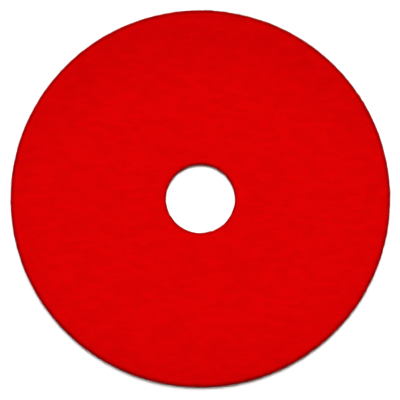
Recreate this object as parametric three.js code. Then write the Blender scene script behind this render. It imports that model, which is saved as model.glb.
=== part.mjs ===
// Round nonwoven pad for a rotary floor machine: one bonded fibre web, die-cut to a flat ring.
// Millimetres, +Z up. The origin is on the hole's axis, in the plane of the face that lies on the floor.
import * as THREE from "three";

// Driving dimensions
const padDiameter = 457; // nominal 18 inch pad
const holeDiameter = 84; // clears the driver's centring hub
const padThickness = 25; // full-thickness pad, about 1 inch
const rimRadius = 3; // how far the cut outer edge has relaxed into a round
const holeEdgeRadius = 2.5; // the same at the hole, which is cut tighter

// Facets
const segmentsRound = 96; // a multiple of 4, so that the widest points lie on X and Y
const stepsPerCorner = 4;

const quarterTurn = Math.PI / 2;

const fibre = new THREE.MeshStandardMaterial({
  color: new THREE.Color().setRGB(0.59, 0.0005, 0.0008, THREE.LinearSRGBColorSpace),
  roughness: 1,
  metalness: 0,
});

// Points of a rounded corner about (x, y), a quarter turn anticlockwise from angle start.
function corner(x, y, radius, start) {
  const points = [];
  for (let step = 0; step <= stepsPerCorner; step += 1) {
    const angle = start + (step / stepsPerCorner) * quarterTurn;
    points.push(new THREE.Vector2(x + radius * Math.cos(angle), y + radius * Math.sin(angle)));
  }
  return points;
}

// The pad's section beside its axis, as (distance from the axis, height), closed on itself.
function section() {
  const outside = padDiameter / 2 - rimRadius;
  const inside = holeDiameter / 2 + holeEdgeRadius;
  const points = [
    ...corner(inside, holeEdgeRadius, holeEdgeRadius, 2 * quarterTurn),
    ...corner(outside, rimRadius, rimRadius, 3 * quarterTurn),
    ...corner(outside, padThickness - rimRadius, rimRadius, 0),
    ...corner(inside, padThickness - holeEdgeRadius, holeEdgeRadius, quarterTurn),
  ];
  points.push(points[0].clone());
  return points;
}

// A LatheGeometry turns its section about Y; this turns that axis up to Z.
function floorPad() {
  const geometry = new THREE.LatheGeometry(section(), segmentsRound);
  geometry.rotateX(quarterTurn);
  const mesh = new THREE.Mesh(geometry, fibre);
  mesh.name = "floor_pad";
  return mesh;
}

const pad = new THREE.Group();
pad.add(floorPad());

export default pad;
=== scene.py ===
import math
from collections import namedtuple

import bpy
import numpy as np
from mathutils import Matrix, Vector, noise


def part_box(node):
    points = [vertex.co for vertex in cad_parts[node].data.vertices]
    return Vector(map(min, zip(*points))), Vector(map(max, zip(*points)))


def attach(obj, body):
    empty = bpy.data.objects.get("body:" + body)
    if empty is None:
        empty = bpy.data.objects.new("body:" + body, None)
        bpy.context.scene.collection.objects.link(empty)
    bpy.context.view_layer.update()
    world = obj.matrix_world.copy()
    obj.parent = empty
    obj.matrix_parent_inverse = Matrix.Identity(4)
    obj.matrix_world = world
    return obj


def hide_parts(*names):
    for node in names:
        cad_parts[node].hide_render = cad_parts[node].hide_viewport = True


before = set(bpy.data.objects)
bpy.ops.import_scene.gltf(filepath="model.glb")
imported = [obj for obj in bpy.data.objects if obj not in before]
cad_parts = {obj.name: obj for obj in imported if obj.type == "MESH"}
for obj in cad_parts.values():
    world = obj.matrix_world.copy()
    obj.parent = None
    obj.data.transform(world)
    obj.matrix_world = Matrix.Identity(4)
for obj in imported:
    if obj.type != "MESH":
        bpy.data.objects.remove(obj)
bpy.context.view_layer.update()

# A red nonwoven floor pad, 18 inches across, lying flat on a white studio floor.
# Metres, +Z up, in the CAD model's frame: the origin is on the hole's axis, where the pad meets the floor.
# The pad is one bonded web of fibres. It is built as the web's body, with real relief on its upper face and
# its cut walls, and as the loose fibres that lie over each of its surfaces. Everything rides on the one
# CAD body.

MM = 0.001
QUARTER_TURN = math.pi / 2
FULL_TURN = 2 * math.pi

# The pad's two faces, as the way that each one faces along Z
UPPER = 1
LOWER = -1

# The pad's size, as the CAD model has it
LOW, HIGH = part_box("floor_pad")
THICKNESS = HIGH.z - LOW.z
RIM_RADIUS = (HIGH.x - LOW.x) / 2
HOLE_RADIUS = min(math.hypot(v.co.x, v.co.y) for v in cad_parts["floor_pad"].data.vertices)

# How far the cut edges have relaxed into a round
RIM_ROUND = 3 * MM
HOLE_ROUND = 2.5 * MM

# The flat face reaches from FLAT_IN to FLAT_OUT, and half of each wall belongs to each face's skin
FLAT_IN = HOLE_RADIUS + HOLE_ROUND
FLAT_OUT = RIM_RADIUS - RIM_ROUND
RIM_SKIRT = RIM_ROUND * QUARTER_TURN + THICKNESS / 2 - RIM_ROUND
HOLE_SKIRT = HOLE_ROUND * QUARTER_TURN + THICKNESS / 2 - HOLE_ROUND

# A cut wall: its radius, the reach at which its edge starts, which way its skin's reach runs, and how far
Wall = namedtuple("Wall", "radius edge outward skirt")
RIM = Wall(RIM_RADIUS, FLAT_OUT, 1, RIM_SKIRT)
HOLE = Wall(HOLE_RADIUS, FLAT_IN, -1, HOLE_SKIRT)

# Grain of the web, in waves per metre: long along X, shorter along Y, thin layers along Z
GRAIN = Vector((62, 145, 260))

# Patches of denser and looser web, in waves per metre
CLOUDS = 30

# Layers of the web that show where it is cut, in waves per metre
CUT_LAYERS = Vector((150, 150, 330))

# How high the web's relief stands: its patches, its grain, its grain of half that size, and its cut layers
CLOUD_HEIGHT = 0.1 * MM
GRAIN_HEIGHT = 0.18 * MM
FINE_GRAIN_HEIGHT = 0.05 * MM
CUT_HEIGHT = 0.6 * MM

# The web has sprung a little along its grain since it was cut, so the pad isn't quite round
SPRUNG = np.array([1.004, 0.9964, 1.0])

# How far either side of a face's flat edge the cut comes in, and how much of it shows in the hole. The cut
# raises layers in the relief, and the materials paint shade on it in this share
CUT_MARGIN = 1.6 * MM
HOLE_CUT = 0.65


# ---------------------------------------------------------------- the pad's skin


def over_edge(excess, round_radius, lift):
    """How far out and up a point goes that has passed a face's flat part by excess, lift above the skin."""
    turn = np.clip(excess / round_radius, 0, QUARTER_TURN)
    down_the_wall = np.maximum(excess - round_radius * QUARTER_TURN, 0)
    out = (round_radius + lift) * np.sin(turn)
    up = (round_radius + lift) * np.cos(turn) - round_radius - down_the_wall
    return out, up


def on_skin(angle, reach, lift, face):
    """Points lift above the skin of one face.

    Reach is the distance from the axis along the skin: past the flat part it goes down the rim, or,
    inwards, down the wall of the hole."""
    rim_out, rim_up = over_edge(np.maximum(reach - FLAT_OUT, 0), RIM_ROUND, lift)
    hole_out, hole_up = over_edge(np.maximum(FLAT_IN - reach, 0), HOLE_ROUND, lift)
    radius = np.clip(reach, FLAT_IN, FLAT_OUT) + rim_out - hole_out
    up = rim_up + hole_up - lift
    middle = THICKNESS / 2
    z = middle + face * (middle + up)
    return np.stack([radius * np.cos(angle), radius * np.sin(angle), z], axis=-1) * SPRUNG


def smooth(share):
    """A share from 0 to 1 that starts and ends gently."""
    return share * share * (3 - 2 * share)


def cut_share(reach):
    """How far the cut shows: 0 on a face, rising over its edges to 1 on the rim and HOLE_CUT in the hole."""
    past_rim = np.clip((reach - FLAT_OUT + CUT_MARGIN) / (2 * CUT_MARGIN), 0, 1)
    past_hole = np.clip((FLAT_IN - reach + CUT_MARGIN) / (2 * CUT_MARGIN), 0, 1)
    return smooth(past_rim) + HOLE_CUT * smooth(past_hole)


def waves(p, across):
    """Noise from -1 to 1 at a point, with a number of waves per metre across each axis."""
    return noise.noise(Vector((p[0] * across[0], p[1] * across[1], p[2] * across[2])))


def proud_at(p, cut):
    """How far the web stands proud at one point, from its uneven density and, where it's cut, its layers."""
    patches = CLOUD_HEIGHT * waves(p, (CLOUDS, CLOUDS, CLOUDS))
    grain = GRAIN_HEIGHT * waves(p, GRAIN) + FINE_GRAIN_HEIGHT * waves(p, 2 * GRAIN)
    return patches + grain + cut * CUT_HEIGHT * waves(p, CUT_LAYERS)


def relief(points, reach):
    """How far the web stands proud at each point."""
    cut = np.broadcast_to(cut_share(reach), points.shape[:-1])
    heights = [proud_at(p, share) for p, share in zip(points.reshape(-1, 3), cut.ravel())]
    return np.array(heights).reshape(points.shape[:-1])


# ---------------------------------------------------------------- pieces


def new_piece(name, points, faces, material):
    """A piece of the pad, which rides on its one body."""
    mesh = bpy.data.meshes.new(name)
    mesh.from_pydata(points.tolist(), [], faces)
    mesh.shade_smooth()
    mesh.materials.append(material)
    piece = bpy.data.objects.new(name, mesh)
    bpy.context.scene.collection.objects.link(piece)
    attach(piece, "root")
    return piece


def give_cut_shade_mask(piece, cut):
    """Stores how far the cut shows at each point, as the mask where the materials paint shade on the cut
    edges.
    """
    piece.data.attributes.new("cut", "FLOAT", "POINT").data.foreach_set("value", cut)


# ---------------------------------------------------------------- the web's body

# How far apart the web's points are: on the upper and the lower face, and down and round its walls
UPPER_STEP = 1.85 * MM
LOWER_STEP = 3.4 * MM
DOWN_STEP = 1.05 * MM
ROUND_STEP = 1.8 * MM

# The web is pressed flat this far above the floor, on the fibres that lie over its underside
PRESSED_FLAT = 0.15 * MM


def skin_stations(step):
    """Reaches from the middle of the hole's wall to the middle of the rim, with the step round each ring."""
    corners = [
        FLAT_IN - HOLE_SKIRT,
        FLAT_IN - HOLE_ROUND * QUARTER_TURN,
        FLAT_IN,
        FLAT_OUT,
        FLAT_OUT + RIM_ROUND * QUARTER_TURN,
        FLAT_OUT + RIM_SKIRT,
    ]
    wall = (DOWN_STEP, ROUND_STEP)
    steps = [wall, wall, (step, step), wall, wall]
    stations = [(corners[0], ROUND_STEP)]
    for start, end, (along, across) in zip(corners, corners[1:], steps):
        count = max(1, round((end - start) / along))
        stations += [(reach, across) for reach in np.linspace(start, end, count + 1)[1:]]
    return stations


def ring(reach, face, step, stagger):
    """Angles of one ring's points, about a step apart, the first one stagger steps from X."""
    radius = np.hypot(*on_skin(0.0, reach, 0.0, face)[:2])
    count = round(FULL_TURN * radius / step)
    return (np.arange(count) + stagger) / count * FULL_TURN


def joined(first, second, first_at, second_at):
    """Triangles that join two rings with different numbers of points, going round both together."""
    triangles = []
    i = j = 0
    while i < len(first) or j < len(second):
        next_first = first[0] + (i + 1) / len(first) * FULL_TURN
        next_second = second[0] + (j + 1) / len(second) * FULL_TURN
        a = first_at + i % len(first)
        b = second_at + j % len(second)
        if j >= len(second) or (i < len(first) and next_first < next_second):
            i += 1
            after = first_at + i % len(first)
        else:
            j += 1
            after = second_at + j % len(second)
        triangles.append((a, b, after))
    return triangles


def web_rings():
    """Every ring of the closed section, as its points' angles, its reach and its face.

    They go out along the upper skin and back along the lower one. The two skins share a ring in the middle
    of each wall."""
    upper = [(reach, UPPER, step) for reach, step in skin_stations(UPPER_STEP)]
    lower = [(reach, LOWER, step) for reach, step in skin_stations(LOWER_STEP)[-2:0:-1]]
    rings = []
    for number, (reach, face, step) in enumerate(upper + lower):
        half_a_step_on = 0.5 * (number % 2)
        rings.append((ring(reach, face, step, half_a_step_on), reach, face))
    return rings


def ring_points(angles, reach, face):
    reaches = np.full(len(angles), reach)
    lift = relief(on_skin(angles, reaches, 0.0, face), reaches)
    points = on_skin(angles, reaches, lift, face)
    points[:, 2] = np.maximum(points[:, 2], PRESSED_FLAT)
    return points


def web_faces(rings):
    starts = np.cumsum([0] + [len(angles) for angles, _, _ in rings])
    faces = []
    for k, (angles, _, _) in enumerate(rings):
        after = (k + 1) % len(rings)
        faces += joined(angles, rings[after][0], starts[k], starts[after])
    return faces


def build_web():
    rings = web_rings()
    points = np.concatenate([ring_points(angles, reach, face) for angles, reach, face in rings])
    web = new_piece("pad_web", points, web_faces(rings), web_material())
    give_cut_shade_mask(web, np.concatenate([np.full(len(angles), cut_share(reach)) for angles, reach, _ in rings]))
    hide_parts("floor_pad")


# ---------------------------------------------------------------- loose fibres

# How many there are: of each kind on a face, round the rim, round the hole, and of each wall's cut ends
FACE_COUNT = 4400
RIM_COUNT = 2600
HOLE_COUNT = 500
RIM_END_COUNT = 5000
HOLE_END_COUNT = 900

# Seed of every random draw
SEED = 18

# Sides of the tube that a fibre is
SIDES = 3

# Points along a loose fibre's centre line, and along a short cut end's
FIBRE_JOINTS = 8
END_JOINTS = 3

# Ranges of thickness, and the share of it that is left at a fibre's tips
THICK = (0.14 * MM, 0.26 * MM)
FINE = (0.1 * MM, 0.18 * MM)
TIP = 0.4

# Range of a loose fibre's length
LENGTH = (8 * MM, 20 * MM)

# A fibre's crimp: the spread of its bend from end to end, the range of its swing to either side, both in
# radians, and the range of the length of one wave
BEND = 0.5
SWING = (0.15, 0.5)
CRIMP_LENGTH = (8 * MM, 15 * MM)

# How deep the ends of a loose fibre are tucked into the web
TUCKED_IN = 0.2 * MM

# How far the middle of a fibre stands proud, on average, on a face and on a wall. It varies by a gamma
# distribution of this shape.
FACE_PROUD = 0.06 * MM
WALL_PROUD = 0.18 * MM
PROUD_SHAPE = 1.5

# How far past a face's flat part its fibres may start, over the hole's edge and over the rim's
PAST_HOLE = 2 * MM
PAST_RIM = 3 * MM

# How far down a wall its fibres start at the least, and its cut ends
FIBRES_DOWN = 2 * MM
ENDS_DOWN = 1.5 * MM

# Cut ends: the spread of how far their tips lie round the wall and down it from their roots, and the range
# of how far they stand out
END_ROUND = 0.6 * MM
END_DOWN = 0.3 * MM
END_PROUD = (0.2 * MM, 0.9 * MM)

# How strongly the flanks of a fibre are shaded as if they faced up
LIT_THROUGH = 1.5

# Corners of one side of a fibre, in the order of its points, as steps along the fibre and round it
QUAD = ((0, 0), (0, 1), (1, 1), (1, 0))

# A fibre's patch of the UV map: how much wider than high it is, and the share of it that the fibre fills
PATCH_WIDTH = 6
PATCH_FILL = 0.9

# How straight fibres lie: the spread of their bearings in radians, from X on a face and from level on a
# wall, and the share that lie anyhow
Lay = namedtuple("Lay", "spread stray")
WITH_THE_GRAIN = Lay(0.35, 0.15)
ANYHOW = Lay(0.9, 0.6)
ROUND_THE_WALL = Lay(0.2, 0.08)

# Where many fibres lie, with a row for each fibre and a column for each of its points: the points' angles,
# reaches and lifts on the skin, and the face of each fibre or of them all
Layout = namedtuple("Layout", "angle reach lift face")


def headings(rng, count, lay):
    """Each fibre's bearing, from X on a face and from level on a wall."""
    bearing = rng.normal(0, lay.spread, count)
    anyhow = rng.random(count) < lay.stray
    bearing[anyhow] = rng.uniform(-QUARTER_TURN, QUARTER_TURN, anyhow.sum())
    return bearing


def crimped(rng, bearing, length):
    """Steps along crimped fibres, with a row for each fibre and a column for each step.

    There are two arrays: how far each step goes along the direction that bearings are taken from, and how
    far across it."""
    count = len(bearing)
    along = np.linspace(0, 1, FIBRE_JOINTS - 1)
    bend = rng.normal(0, BEND, (count, 1)) * along
    swing = rng.uniform(*SWING, (count, 1))
    phase = rng.uniform(0, FULL_TURN, (count, 1))
    crimps = length[:, None] / rng.uniform(*CRIMP_LENGTH, (count, 1))
    heading = bearing[:, None] + bend + swing * np.sin(FULL_TURN * crimps * along + phase)
    step = length[:, None] / (FIBRE_JOINTS - 1)
    return step * np.cos(heading), step * np.sin(heading)


def strung(start, steps):
    """Each fibre's places one after the other, from its start and its steps."""
    return start[:, None] + np.concatenate([np.zeros((len(start), 1)), np.cumsum(steps, axis=1)], axis=1)


def arched(rng, count, proud):
    """Heights of a fibre above the web: its ends are tucked in, and its middle stands proud."""
    arch = np.sin(math.pi * np.linspace(0, 1, FIBRE_JOINTS))
    height = rng.gamma(PROUD_SHAPE, proud / PROUD_SHAPE, (count, 1))
    return -TUCKED_IN + (TUCKED_IN + height) * arch


def either_face(rng, count):
    """One face or the other for each fibre, at even odds."""
    return np.where(rng.random((count, 1)) < 0.5, UPPER, LOWER)


def face_fibres(rng, count, face, lay):
    """Fibres strewn evenly over one face, some running on over its edges."""
    inner = FLAT_IN - PAST_HOLE
    outer = FLAT_OUT + PAST_RIM
    radius = np.sqrt(rng.uniform(inner**2, outer**2, count))
    angle = rng.uniform(0, FULL_TURN, count)
    bearing = headings(rng, count, lay)
    length = rng.uniform(*LENGTH, count)
    along_x, along_y = crimped(rng, bearing, length)
    x = strung(radius * np.cos(angle), along_x)
    y = strung(radius * np.sin(angle), along_y)
    reach = np.clip(np.hypot(x, y), FLAT_IN - HOLE_SKIRT, FLAT_OUT + RIM_SKIRT)
    return Layout(np.arctan2(y, x), reach, arched(rng, count, FACE_PROUD), face)


def down_wall(wall, depth):
    """The reach of a point that is so far down a wall's half of the skin, held to where that half ends."""
    return wall.edge + wall.outward * np.clip(depth, 0, wall.skirt)


def wall_fibres(rng, count, wall):
    """Fibres that run round a cut wall."""
    length = rng.uniform(*LENGTH, count)
    bearing = headings(rng, count, ROUND_THE_WALL)
    onwards, down = crimped(rng, bearing, length)
    angle = strung(rng.uniform(0, FULL_TURN, count), onwards / wall.radius)
    depth = np.abs(strung(rng.uniform(FIBRES_DOWN, wall.skirt, count), down))
    return Layout(angle, down_wall(wall, depth), arched(rng, count, WALL_PROUD), either_face(rng, count))


def cut_ends(rng, count, wall):
    """Short ends of fibre that stand out of a cut wall."""
    along = np.linspace(0, 1, END_JOINTS)
    lean = rng.normal(0, END_ROUND, (count, 1)) / wall.radius
    angle = rng.uniform(0, FULL_TURN, (count, 1)) + lean * along
    depth = rng.uniform(ENDS_DOWN, wall.skirt, (count, 1)) + rng.normal(0, END_DOWN, (count, 1)) * along
    lift = -TUCKED_IN + (TUCKED_IN + rng.uniform(*END_PROUD, (count, 1))) * along
    return Layout(angle, down_wall(wall, depth), lift, either_face(rng, count))


def laid(layout):
    """Centre lines that follow the web's relief, and the skin's normals along them."""
    angle, reach, lift, face = layout
    lift = lift + relief(on_skin(angle, reach, 0.0, face), reach)
    line = on_skin(angle, reach, lift, face)
    above = on_skin(angle, reach, lift + MM, face)
    return line, (above - line) / MM


def unit(vectors):
    return vectors / np.linalg.norm(vectors, axis=-1, keepdims=True)


def tube_points(line, normal, thickness):
    """Rings of points round many centre lines at once, thinner at both ends, and their shading normals.

    Light passes through a real fibre, so its flanks are shaded as if they faced partly up."""
    tangent = np.gradient(line, axis=1)
    side = unit(np.cross(tangent, normal))
    top = unit(np.cross(side, tangent))
    radius = np.repeat(thickness[:, None] / 2, line.shape[1], axis=1)
    radius[:, [0, -1]] *= TIP
    line = line.copy()
    line[:, :, 2] = np.maximum(line[:, :, 2], radius)  # nothing reaches below the floor
    turn = ((np.arange(SIDES) + 0.5) / SIDES * FULL_TURN)[:, None]
    spokes = np.cos(turn) * top[:, :, None, :] + np.sin(turn) * side[:, :, None, :]
    points = line[:, :, None, :] + radius[:, :, None, None] * spokes
    return points, unit(spokes + LIT_THROUGH * top[:, :, None, :])


def tube_faces(count, joints):
    """The sides and both ends of closed tubes whose rings of points follow each other."""
    faces = []
    for fibre in range(count):
        start = fibre * joints * SIDES
        for joint in range(joints - 1):
            a = start + joint * SIDES
            for k in range(SIDES):
                after = (k + 1) % SIDES
                faces.append((a + k, a + after, a + SIDES + after, a + SIDES + k))
        last = start + (joints - 1) * SIDES
        faces.append(tuple(range(start + SIDES - 1, start - 1, -1)))
        faces.append(tuple(range(last, last + SIDES)))
    return faces


def give_own_patches(piece, count, joints):
    """A UV map that gives each fibre a patch of its own, so that its colour can be baked for export."""
    columns = math.ceil(math.sqrt(count / PATCH_WIDTH))
    rows = math.ceil(count / columns)
    side = [(j + a, k + b) for j in range(joints - 1) for k in range(SIDES) for a, b in QUAD]
    ends = [(joints / 2, SIDES / 2)] * (2 * SIDES)
    patch = np.array(side + ends) / (joints - 1, SIDES) * PATCH_FILL
    corners = np.stack([np.arange(count) % columns, np.arange(count) // columns], axis=-1)
    uv = (corners[:, None, :] + patch) / (columns, rows)
    piece.data.uv_layers.new(name="OFBake").data.foreach_set("uv", uv.ravel())


def fibre_piece(name, rng, layout, thickness, material):
    """All the fibres of one layout, as one piece."""
    line, normal = laid(layout)
    count, joints = line.shape[:2]
    points, normals = tube_points(line, normal, rng.uniform(*thickness, count))
    piece = new_piece(name, points.reshape(-1, 3), tube_faces(count, joints), material)
    piece.data.normals_split_custom_set_from_vertices(normals.reshape(-1, 3))
    give_cut_shade_mask(piece, np.repeat(cut_share(layout.reach).ravel(), SIDES))
    give_own_patches(piece, count, joints)


def build_fibres():
    rng = np.random.default_rng(SEED)
    layouts = {
        "upper_face_grain_fibres": (face_fibres(rng, FACE_COUNT, UPPER, WITH_THE_GRAIN), THICK),
        "upper_face_fine_fibres": (face_fibres(rng, FACE_COUNT, UPPER, WITH_THE_GRAIN), FINE),
        "upper_face_cross_fibres": (face_fibres(rng, FACE_COUNT, UPPER, ANYHOW), FINE),
        "lower_face_fibres": (face_fibres(rng, FACE_COUNT, LOWER, ANYHOW), THICK),
        "rim_fibres": (wall_fibres(rng, RIM_COUNT, RIM), THICK),
        "rim_cut_ends": (cut_ends(rng, RIM_END_COUNT, RIM), FINE),
        "hole_fibres": (wall_fibres(rng, HOLE_COUNT, HOLE), THICK),
        "hole_cut_ends": (cut_ends(rng, HOLE_END_COUNT, HOLE), FINE),
    }
    material = loose_fibre_material()
    for name, (layout, thickness) in layouts.items():
        fibre_piece(name, rng, layout, thickness, material)


# ---------------------------------------------------------------- materials

# Reds of the fibre: the deep one is painted shade between fibres, the bright one a painted highlight on a
# fibre that catches the light
DEEP_RED = (0.34, 0.0003, 0.0006, 1)
BRIGHT_RED = (0.80, 0.0006, 0.0010, 1)

# Layers of fibres that show in the web, the deepest first: their bearing from X in degrees, waves per
# metre across them, and the height of the layer, from 0 to 1
LAYERS = (
    (68, 3700, 0.30),
    (-44, 4100, 0.45),
    (24, 3400, 0.55),
    (-79, 4000, 0.65),
    (-18, 3900, 0.75),
    (45, 3200, 0.85),
    (4, 3600, 1.00),
)

# The height of the gaps between the layers
GAPS = 0.1

# Waves per metre along the fibres of a layer, and how far from a wave's middle a fibre's flank reaches
ALONG = 160
FLANK = 0.07

# How the fibres of a layer wander: waves per metre, and how far along each axis
WANDER = 70
WANDER_BY = (6 * MM, 6 * MM, 2 * MM)

# The web's tone is that of its grain, a tone that differs at random between these levels of the grain's
# noise, and its fibres add painted light to it, the more the higher they lie
GRAIN_LEVELS = (0.25, 0.75)
GRAIN_TONES = (0.33, 0.465)
FIBRE_PAINTED_LIGHT = 0.18

# Painted shade on the cut in the web, from its gaps to its fibres, and the painted shade that its cut layers
# add between these levels of their noise
GAP_TO_FIBRE_PAINTED_SHADE = (0.58, 0.26)
LAYER_LEVELS = (0.35, 0.6)
LAYER_PAINTED_SHADE = (0.2, 0.0)

# Roughness of the web, from its gaps to its fibres, and the height and strength of its bump
WEB_ROUGHNESS = (1.0, 0.85)
WEB_BUMP = (0.04 * MM, 0.8)

# Resin on a loose fibre: waves per metre, levels of its noise, and the tones and roughness between them
RESIN = 400
RESIN_LEVELS = (0.3, 0.7)
RESIN_TONES = (0.4, 0.6)
RESIN_ROUGHNESS = (0.8, 1.0)

# How much a loose fibre's own tone adds at the most, the shade painted on it where the cut shows, and its
# bump
OWN_TONE = 0.3
LOOSE_PAINTED_SHADE = 0.4
LOOSE_BUMP = (0.05 * MM, 0.4)

# Matt fibre: no gloss, and a faint red sheen
MATT = {
    "Specular IOR Level": 0.0,
    "Sheen Weight": 0.05,
    "Sheen Roughness": 0.6,
    "Sheen Tint": (1.0, 0.0, 0.0, 1.0),
}


class Tree:
    """A node tree with short calls for making nodes and joining them."""

    def __init__(self, tree):
        self.tree = tree
        tree.nodes.clear()

    def add(self, kind, inputs=None, **settings):
        made = self.tree.nodes.new(kind)
        for key, value in settings.items():
            setattr(made, key, value)
        for key, value in (inputs or {}).items():
            self.put(made.inputs[key], value)
        return made

    def put(self, socket, value):
        if isinstance(value, bpy.types.NodeSocket):
            self.tree.links.new(value, socket)
        else:
            socket.default_value = value

    def place(self):
        """Where a shaded point is on its piece, in metres."""
        return self.add("ShaderNodeTexCoord").outputs["Object"]

    def maths(self, operation, *values):
        return self.add("ShaderNodeMath", dict(enumerate(values)), operation=operation).outputs[0]

    def vectors(self, operation, *values):
        return self.add("ShaderNodeVectorMath", dict(enumerate(values)), operation=operation).outputs[0]

    def noise(self, at, scale, detail):
        return self.add("ShaderNodeTexNoise", {"Vector": at, "Scale": scale, "Detail": detail})

    def level(self, at, scale, detail):
        """Noise as a single number, from about 0 to 1."""
        return self.noise(at, scale, detail).outputs[0]

    def ramp(self, value, levels, results):
        """Goes smoothly from the first result to the second as value goes from one level to the other."""
        ends = dict(zip(("From Min", "From Max", "To Min", "To Max"), (*levels, *results)))
        inputs = {"Value": value} | ends
        return self.add("ShaderNodeMapRange", inputs, interpolation_type="SMOOTHSTEP").outputs[0]

    def red(self, tone, painted_shade):
        """A red from DEEP_RED at tone 0 to BRIGHT_RED at tone 1, darkened by painted shade where the cut
        shows.
        """
        # a Mix node's sockets share names: 0 is its factor, 6 and 7 are its colours, and 2 is its colour out
        mix = self.add("ShaderNodeMix", {0: tone, 6: DEEP_RED, 7: BRIGHT_RED}, data_type="RGBA")
        # the cut attribute is the mask for painted shade on the cut edges
        cut = self.add("ShaderNodeAttribute", attribute_name="cut").outputs["Fac"]
        left = self.maths("SUBTRACT", 1.0, self.maths("MULTIPLY", cut, painted_shade))
        inputs = {"Vector": mix.outputs[2], "Scale": left}
        return self.add("ShaderNodeVectorMath", inputs, operation="SCALE").outputs[0]

    def fibrous(self, colour, roughness, height, bump):
        """Finishes the tree with a matt fibrous surface, whose bump is given as its depth and strength."""
        distance, strength = bump
        facing = self.add("ShaderNodeBump", {"Strength": strength, "Distance": distance, "Height": height})
        inputs = {"Base Color": colour, "Roughness": roughness, "Normal": facing.outputs[0]}
        shader = self.add("ShaderNodeBsdfPrincipled", inputs | MATT)
        self.add("ShaderNodeOutputMaterial", {"Surface": shader.outputs[0]})


def new_material(name):
    material = bpy.data.materials.new(name)
    material.use_nodes = True
    return material, Tree(material.node_tree)


def wandering(tree, at):
    """The same place, shifted a little this way and that, so that straight lines wander."""
    drift = tree.noise(at, WANDER, detail=1.0).outputs["Color"]
    centred = tree.vectors("SUBTRACT", drift, (0.5, 0.5, 0.5))
    return tree.vectors("ADD", at, tree.vectors("MULTIPLY", centred, WANDER_BY))


def stretched(tree, at, across, detail):
    """Noise at a place, with a number of waves per metre across each axis."""
    return tree.level(tree.vectors("MULTIPLY", at, tuple(across)), 1.0, detail)


def fibre_lines(tree, at, bearing, across):
    """Fine lines along one bearing in the pad's plane: 1 on a fibre, 0 beside it."""
    turned = tree.add("ShaderNodeMapping", {"Vector": at, "Rotation": (0, 0, math.radians(bearing))})
    drawn_out = stretched(tree, turned.outputs[0], (ALONG, across, across), detail=0.0)
    off_the_line = tree.maths("ABSOLUTE", tree.maths("SUBTRACT", drawn_out, 0.5))
    return tree.ramp(off_the_line, (0.0, FLANK), (1.0, 0.0))


def layered_fibres(tree, at):
    """Height of the layers of fibres laid over each other, from GAPS to 1 on the topmost ones."""
    level = GAPS
    for bearing, across, height in LAYERS:
        lines = fibre_lines(tree, at, bearing, across)
        # a Mix node's sockets: 0 is its factor, 2 and 3 are its numbers, and 0 is its number out
        level = tree.add("ShaderNodeMix", {0: lines, 2: level, 3: height}).outputs[0]
    return level


def web_material():
    material, tree = new_material("fibre_web")
    at = tree.place()
    fibres = layered_fibres(tree, wandering(tree, at))
    grain = stretched(tree, at, GRAIN, detail=1.0)
    # painted light and shade: the higher the fibres lie, the brighter the red, over the grain's random tone
    tone = tree.maths("MULTIPLY_ADD", fibres, FIBRE_PAINTED_LIGHT, tree.ramp(grain, GRAIN_LEVELS, GRAIN_TONES))
    # painted shade on the cut: deepest in its gaps and between its layers
    layers = tree.ramp(stretched(tree, at, CUT_LAYERS, detail=2.0), LAYER_LEVELS, LAYER_PAINTED_SHADE)
    painted_shade = tree.maths("ADD", tree.ramp(fibres, (0.0, 1.0), GAP_TO_FIBRE_PAINTED_SHADE), layers)
    roughness = tree.ramp(fibres, (0.0, 1.0), WEB_ROUGHNESS)
    tree.fibrous(tree.red(tone, painted_shade), roughness, fibres, WEB_BUMP)
    return material


def loose_fibre_material():
    material, tree = new_material("loose_fibre")
    own = tree.add("ShaderNodeNewGeometry").outputs["Random Per Island"]
    resin = tree.level(tree.place(), RESIN, detail=1.0)
    tone = tree.maths("MULTIPLY_ADD", own, OWN_TONE, tree.ramp(resin, RESIN_LEVELS, RESIN_TONES))
    roughness = tree.ramp(resin, RESIN_LEVELS, RESIN_ROUGHNESS)
    # painted shade on the loose fibres where the cut shows
    tree.fibrous(tree.red(tone, LOOSE_PAINTED_SHADE), roughness, resin, LOOSE_BUMP)
    return material


def floor_material():
    material, tree = new_material("studio_floor")
    shader = tree.add("ShaderNodeBsdfDiffuse", {"Color": FLOOR_WHITE})
    tree.add("ShaderNodeOutputMaterial", {"Surface": shader.outputs[0]})
    return material


# ---------------------------------------------------------------- studio

# The floor's colour and width, and the gap that keeps it clear of the pad's lowest fibres
FLOOR_WHITE = (0.95, 0.95, 0.95, 1)
FLOOR_WIDTH = 12
FLOOR_GAP = 0.2 * MM

# How far every lamp is from the origin
LAMP_DISTANCE = 2.0

# The key light is a strip of small suns along +Y: each one's tilt from overhead, the strength of them all
# together, and the angle that one of them spans
KEY_TILTS = np.radians([3.8, 6.0, 8.2, 10.4, 12.6])
KEY_STRENGTH = 3.25
KEY_SPAN = math.radians(4)

# The pool of light: its lamp's tilt from overhead towards +Y, its middle, how much wider than deep it is,
# and its beam
POOL_TILT = math.radians(8.2)
POOL_AT = (0, -0.019, 0)
POOL_WIDTH = 1.26
POOL_BEAM = {"energy": 25, "shadow_soft_size": 0.03, "spot_size": math.radians(12.8), "spot_blend": 0.61}

# Strength of the world's light below and above these heights on its unit sphere
WORLD_HEIGHTS = (0.15, 0.3)
WORLD_STRENGTHS = (1.0, 0.05)

# The camera looks down on VIEW_CENTRE, and sees VIEW_WIDTH of the plane in which the pad's outline lies.
# Its lens and sensor are in millimetres.
VIEW_CENTRE = (-0.45 * MM, -1.63 * MM)
VIEW_WIDTH = 0.484
LENS = 1000
SENSOR = 36


def studio_floor():
    bpy.ops.mesh.primitive_plane_add(size=FLOOR_WIDTH)
    floor = bpy.context.object
    floor.name = "studio_floor"
    floor.location.z = -FLOOR_GAP
    floor.data.materials.append(floor_material())


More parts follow.
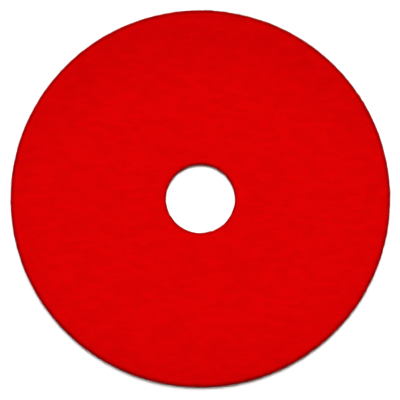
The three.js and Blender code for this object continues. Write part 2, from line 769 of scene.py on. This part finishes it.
def lamp(name, kind, tilt, target, **settings):
    """A lamp that leans from overhead towards +Y and points at a target."""
    data = bpy.data.lights.new(name, kind)
    for key, value in settings.items():
        setattr(data, key, value)
    light = bpy.data.objects.new(name, data)
    light.location = (0, LAMP_DISTANCE * math.sin(tilt), LAMP_DISTANCE * math.cos(tilt))
    light.rotation_euler = (Vector(target) - light.location).to_track_quat("-Z", "Y").to_euler()
    bpy.context.scene.collection.objects.link(light)
    return light


def studio_lights():
    """An even key light, and a soft pool of light about the pad's middle that leaves its top edge dimmer."""
    for number, tilt in enumerate(KEY_TILTS):
        lamp(f"key_{number}", "SUN", tilt, (0, 0, 0), energy=KEY_STRENGTH / len(KEY_TILTS), angle=KEY_SPAN)
    pool = lamp("pool", "SPOT", POOL_TILT, POOL_AT, **POOL_BEAM)
    pool.scale.x = POOL_WIDTH


def studio_world():
    """Pale near the horizon, as a studio's walls are, and dim overhead, so that shadows stay deep."""
    world = bpy.data.worlds.new("studio")
    bpy.context.scene.world = world
    world.use_nodes = True
    tree = Tree(world.node_tree)
    direction = tree.add("ShaderNodeTexCoord").outputs["Generated"]
    height = tree.add("ShaderNodeSeparateXYZ", {"Vector": direction}).outputs["Z"]
    strength = tree.ramp(height, WORLD_HEIGHTS, WORLD_STRENGTHS)
    shader = tree.add("ShaderNodeBackground", {"Color": (1, 1, 1, 1), "Strength": strength})
    tree.add("ShaderNodeOutputWorld", {"Surface": shader.outputs[0]})


def camera():
    """Straight above, with the image's right along X and its top along Y."""
    data = bpy.data.cameras.new("camera")
    data.lens = LENS
    data.sensor_width = SENSOR
    view = bpy.data.objects.new("camera", data)
    distance = VIEW_WIDTH * LENS / SENSOR
    view.location = (*VIEW_CENTRE, THICKNESS - RIM_ROUND + distance)
    bpy.context.scene.collection.objects.link(view)
    bpy.context.scene.camera = view
    bpy.context.scene.view_settings.view_transform = "Standard"  # colours as they are, with no film look


# ---------------------------------------------------------------- putting it together

camera()
studio_floor()
studio_lights()
studio_world()
build_web()
build_fibres()
